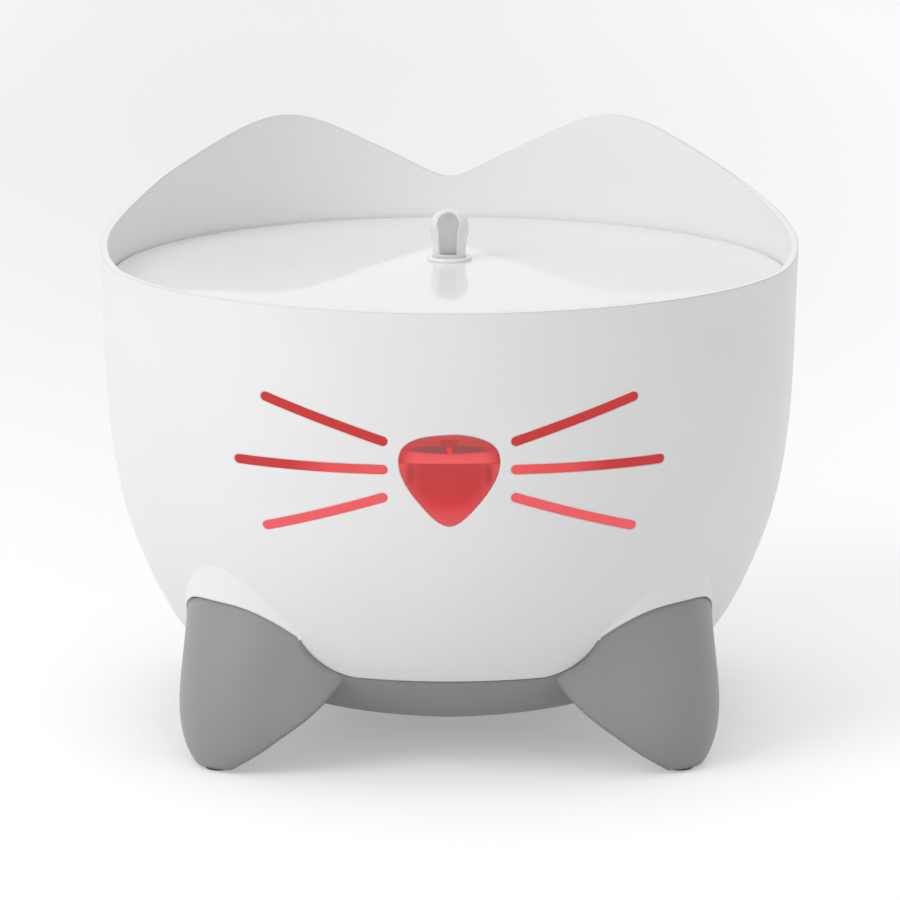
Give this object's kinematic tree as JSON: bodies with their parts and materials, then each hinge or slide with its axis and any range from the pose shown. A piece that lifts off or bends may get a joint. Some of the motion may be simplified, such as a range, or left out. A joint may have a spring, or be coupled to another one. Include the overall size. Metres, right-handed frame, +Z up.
{
  "type": "pet water fountain",
  "caption": "Round bowl with two ears on splayed feet: domed drinking plate, hooded spout, ring filter and a pump in a chamber, with a nose window and whisker strips.",
  "frame": {"origin": "on the floor, under the centre of the bowl", "axes": "+Z up, the face with the nose window towards -Y, +X to its right as seen from the front"},
  "size_m": [0.24, 0.2408, 0.1954],
  "materials": {
    "shell_white": "satin",
    "base_grey": "satin",
    "plate_white": "gloss",
    "window_red": "translucent gloss",
    "pad_rubber": "matte",
    "seal_rubber": "matte",
    "screw_steel": "satin",
    "float_grey": "satin",
    "filter_white": "satin",
    "filter_foam": "matte",
    "filter_carbon": "matte",
    "filter_resin": "matte",
    "chamber_grey": "satin",
    "pump_black": "satin",
    "pump_potting": "matte",
    "core_iron": "satin",
    "coil_tape": "satin",
    "shaft_ceramic": "gloss",
    "magnet_dark": "satin"
  },
  "bodies": {
    "fountain": {"bowl_shell": "shell_white", "foot_base": "base_grey", "foot_pads": "pad_rubber", "base_screws": "screw_steel", "nose_window": "window_red", "nose_seal": "seal_rubber", "whisker_left_upper": "window_red", "whisker_right_upper": "window_red", "whisker_left_middle": "window_red", "whisker_right_middle": "window_red", "whisker_left_lower": "window_red", "whisker_right_lower": "window_red", "cable_grommet": "pad_rubber"},
    "float": {"level_float": "float_grey", "float_marker": "window_red"},
    "plate": {"drinking_plate": "plate_white", "spout_ring": "plate_white"},
    "spout": {"spout_hood": "plate_white"},
    "filter": {"filter_frame": "filter_white", "filter_foam": "filter_foam", "filter_carbon": "filter_carbon", "filter_resin": "filter_resin", "filter_lid": "filter_white"},
    "pump": {"suction_cups": "seal_rubber", "chamber_base": "chamber_grey", "chamber_cover": "chamber_grey", "pump_body": "pump_black", "pump_cap": "pump_potting", "stator_core": "core_iron", "motor_coil": "coil_tape", "rotor_shaft": "shaft_ceramic", "front_bush": "seal_rubber", "rear_bush": "seal_rubber", "volute_cover": "pump_black", "intake_cover": "pump_black", "pump_gland": "pad_rubber", "riser_tube": "chamber_grey", "riser_seal": "seal_rubber"},
    "rotor": {"rotor_magnet": "magnet_dark", "impeller": "filter_white"},
    "dial": {"flow_dial": "float_grey"}
  },
  "joints": [
    {"name": "plate_lift", "type": "slide", "parent": "fountain", "child": "plate", "axis": [0, 0, 1], "range_m": [0, 0.32]},
    {"name": "spout_lift", "type": "slide", "parent": "plate", "child": "spout", "axis": [0, 0, 1], "range_m": [0, 0.03]},
    {"name": "filter_lift", "type": "slide", "parent": "fountain", "child": "filter", "axis": [0, 0, 1], "range_m": [0, 0.288]},
    {"name": "pump_lift", "type": "slide", "parent": "fountain", "child": "pump", "axis": [0, 0, 1], "range_m": [0, 0.192]},
    {"name": "float_slide", "type": "slide", "parent": "fountain", "child": "float", "axis": [0, 0, 1], "range_m": [-0.011, 0]},
    {"name": "rotor_spin", "type": "hinge", "parent": "pump", "child": "rotor", "pos_m": [0, 0.009, 0.04398], "axis": [0, 1, 0], "continuous": true},
    {"name": "dial_turn", "type": "hinge", "parent": "pump", "child": "dial", "pos_m": [0, -0.021, 0.02798], "axis": [0, 1, 0], "range_deg": [0, 90]}
  ],
  "couplings": [
    {"joint": "filter_lift", "follows": "plate_lift", "ratio": 0.9},
    {"joint": "pump_lift", "follows": "plate_lift", "ratio": 0.6}
  ]
}
